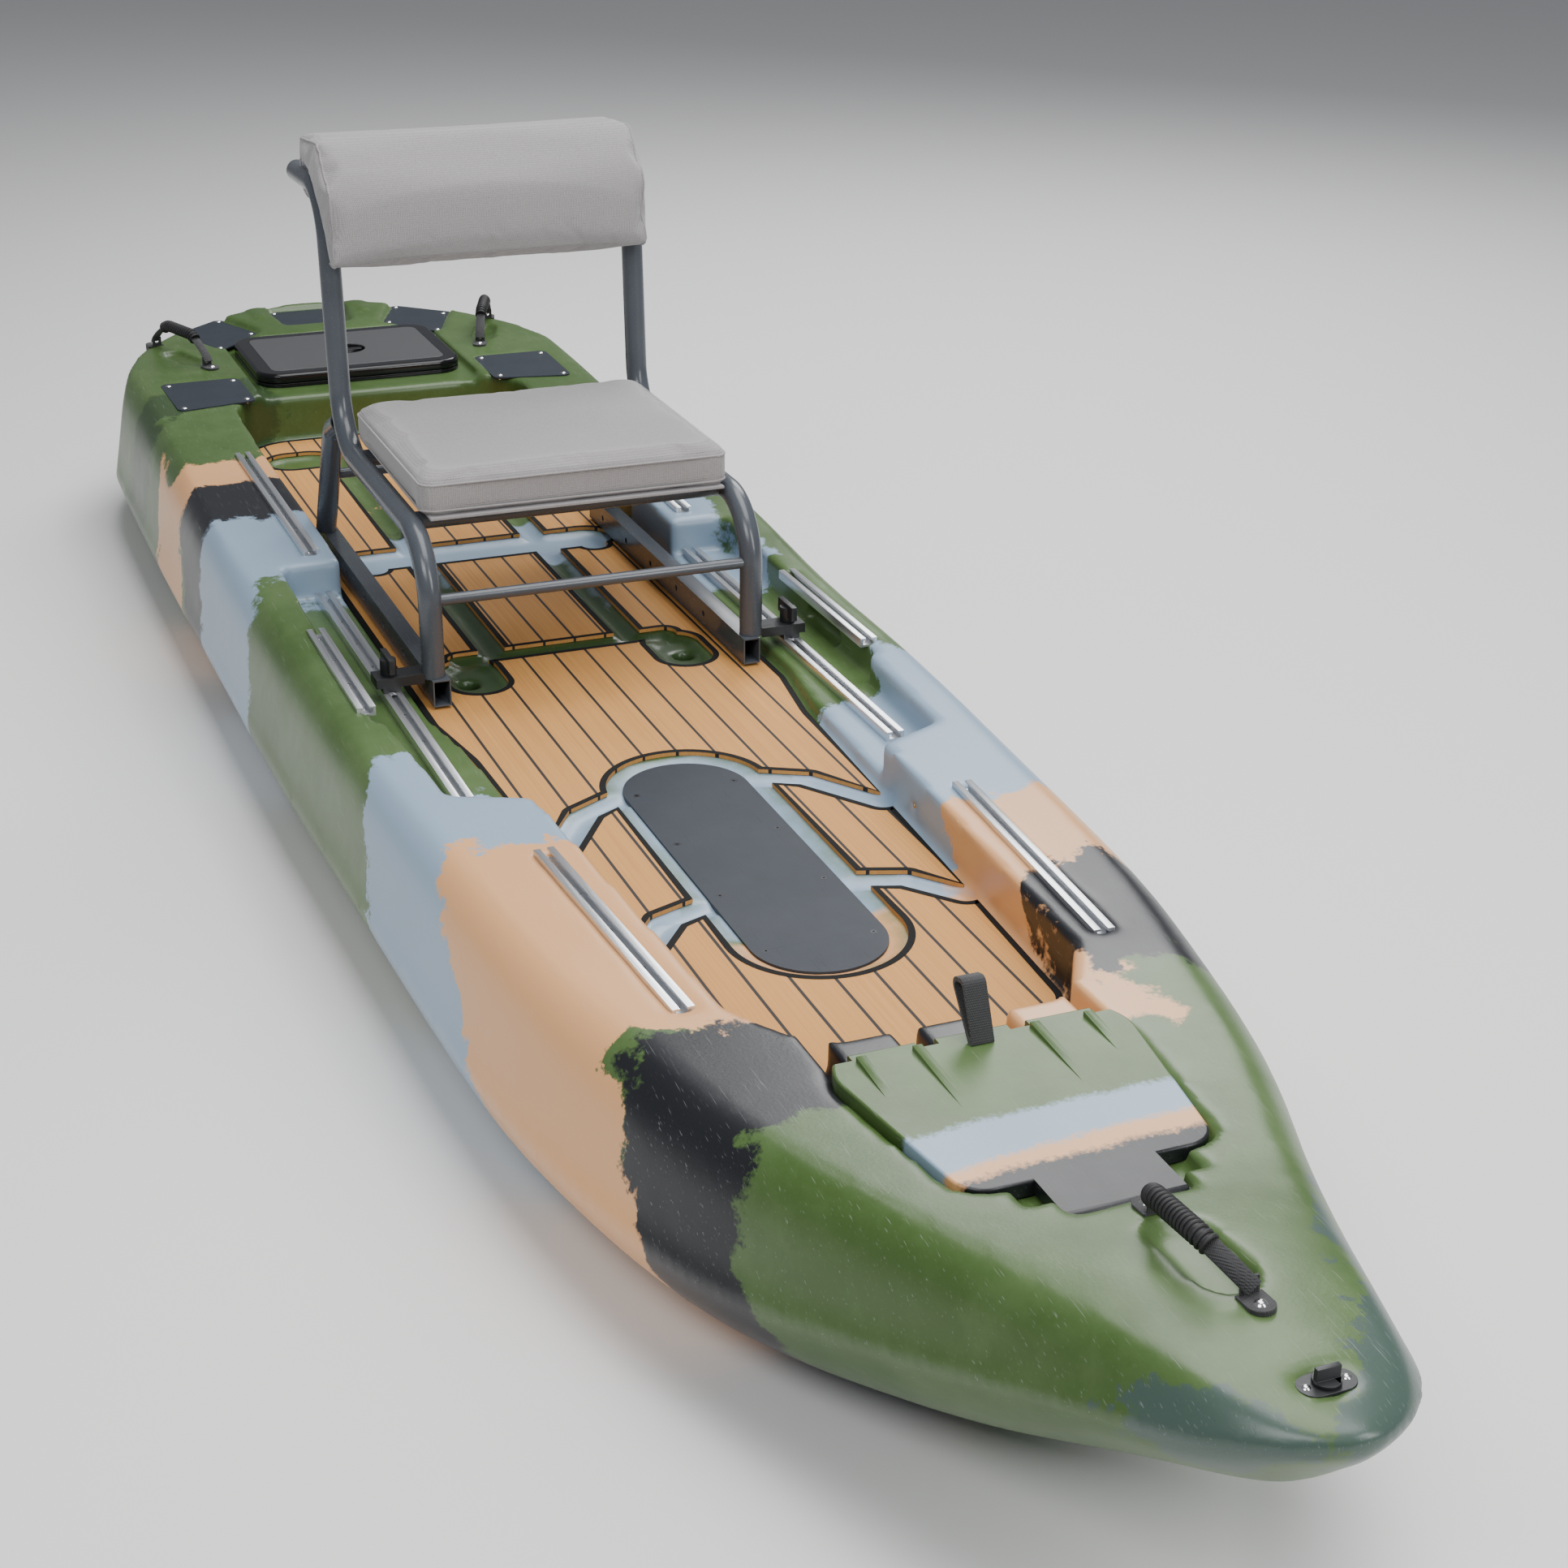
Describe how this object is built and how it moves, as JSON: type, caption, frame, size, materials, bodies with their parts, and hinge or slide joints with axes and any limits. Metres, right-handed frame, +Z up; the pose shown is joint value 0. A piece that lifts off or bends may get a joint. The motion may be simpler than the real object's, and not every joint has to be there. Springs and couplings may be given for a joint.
{
  "type": "sit-on-top fishing kayak",
  "caption": "Sit-on-top fishing kayak with a hollow moulded hull, sliding tube-frame chair, hinged bow and stern hatches, gear tracks, carry handles and foam deck pads.",
  "frame": {"origin": "middle of the bounding box in plan, on the plane the keel strips stand on", "axes": "+X towards the bow, +Y to port, +Z up"},
  "size_m": [3.8165, 0.9204, 0.8623],
  "materials": {
    "hull_plastic": "rotomoulded polyethylene in green, pale blue, tan and black patches, slightly glossy",
    "dark_plastic": "satin",
    "gloss_black": "glossy",
    "plate_plastic": "fine-grained sheet",
    "grey_mesh": "fine raised mesh",
    "deck_foam": "closed-cell foam with a plank pattern and dark seams",
    "track_aluminium": "satin anodised",
    "stainless": "bright",
    "dark_steel": "blackened",
    "bright_rivet": "polished",
    "brass_insert": "plain",
    "black_rubber": "matte",
    "webbing": "woven",
    "coated_tube": "glossy powder coat on aluminium tube",
    "seat_fabric": "coarse woven mesh cloth"
  },
  "bodies": {
    "hull": {"hull": "hull_plastic", "cover_plate": "dark_plastic", "cover_screws": "dark_steel", "pad_front": "deck_foam", "pad_middle": "deck_foam", "pad_rear": "deck_foam", "track_fore_port": "track_aluminium", "track_fore_starboard": "track_aluminium", "track_mid_port": "track_aluminium", "track_mid_starboard": "track_aluminium", "track_rear_port": "track_aluminium", "track_rear_starboard": "track_aluminium", "track_seat_port": "track_aluminium", "track_seat_starboard": "track_aluminium", "track_screws": "stainless", "plates_front": "plate_plastic", "plates_rear": "plate_plastic", "plate_centre": "plate_plastic", "plate_rivets": "bright_rivet", "wall_inserts": "brass_insert", "stern_hatch_frame": "gloss_black", "stern_hatch_seal": "black_rubber", "stern_bin": "dark_plastic", "stern_hatch_pins": "stainless", "bow_hinge_pin": "stainless", "bow_seal": "black_rubber", "bow_bin": "dark_plastic", "handle_tabs": "webbing", "drain_flange": "dark_plastic", "deck_screws": "stainless"},
    "bow_lid": {"bow_lid": "hull_plastic", "bow_pull_strap": "webbing"},
    "stern_lid": {"stern_hatch_lid": "gloss_black", "stern_hatch_panel": "grey_mesh"},
    "stern_latch": {"stern_latch_handle": "gloss_black", "stern_latch_cam": "gloss_black"},
    "bow_handle": {"handle_strap_bow": "webbing", "handle_grip_bow": "black_rubber"},
    "port_handle": {"handle_strap_port": "webbing", "handle_grip_port": "black_rubber"},
    "starboard_handle": {"handle_strap_starboard": "webbing", "handle_grip_starboard": "black_rubber"},
    "drain_plug": {"drain_plug": "dark_plastic", "drain_seal": "black_rubber"},
    "chair": {"chair_side_port": "coated_tube", "chair_side_starboard": "coated_tube", "chair_rear_legs": "coated_tube", "chair_seat_bars": "coated_tube", "chair_lower_bars": "coated_tube", "chair_base_rails": "coated_tube", "chair_feet": "black_rubber", "chair_end_caps": "dark_plastic", "clamp_arms": "coated_tube", "clamp_bolts": "stainless", "seat_pan": "seat_fabric", "seat_cushion": "seat_fabric", "back_cushion": "seat_fabric"},
    "knob_port": {"clamp_knob_port": "dark_plastic"},
    "knob_starboard": {"clamp_knob_starboard": "dark_plastic"}
  },
  "joints": [
    {"name": "chair_slide", "type": "slide", "parent": "hull", "child": "chair", "axis": [1, 0, 0], "range_m": [-0.25, 0.18]},
    {"name": "knob_port_turn", "type": "hinge", "parent": "chair", "child": "knob_port", "pos_m": [0.016, 0.292, 0.25], "axis": [0, 0, 1], "continuous": true},
    {"name": "knob_starboard_turn", "type": "hinge", "parent": "chair", "child": "knob_starboard", "pos_m": [0.016, -0.292, 0.25], "axis": [0, 0, 1], "continuous": true},
    {"name": "bow_lid_hinge", "type": "hinge", "parent": "hull", "child": "bow_lid", "pos_m": [1.529, 0, 0.269], "axis": [0, 1, 0], "range_deg": [0, 95]},
    {"name": "stern_lid_hinge", "type": "hinge", "parent": "hull", "child": "stern_lid", "pos_m": [-1.65, 0, 0.286], "axis": [0, -1, 0], "range_deg": [0, 95]},
    {"name": "stern_latch_turn", "type": "hinge", "parent": "stern_lid", "child": "stern_latch", "pos_m": [-1.493, 0, 0.285], "axis": [0, 0, 1], "range_deg": [0, 90]},
    {"name": "bow_handle_swing", "type": "hinge", "parent": "hull", "child": "bow_handle", "pos_m": [1.562, 0, 0.301], "axis": [0.9952, 0, 0.0976], "range_deg": [-100, 30], "stiffness_Nm_per_rad": 0.3},
    {"name": "port_handle_swing", "type": "hinge", "parent": "hull", "child": "port_handle", "pos_m": [-1.47, 0.256, 0.3], "axis": [-0.9397, 0.342, 0], "range_deg": [-70, 70], "stiffness_Nm_per_rad": 0.3},
    {"name": "starboard_handle_swing", "type": "hinge", "parent": "hull", "child": "starboard_handle", "pos_m": [-1.47, -0.256, 0.3], "axis": [-0.9397, -0.342, 0], "range_deg": [-70, 70], "stiffness_Nm_per_rad": 0.3},
    {"name": "drain_turn", "type": "hinge", "parent": "hull", "child": "drain_plug", "pos_m": [1.842, 0, 0.303], "axis": [0, 0, 1], "range_deg": [0, 1440]}
  ]
}
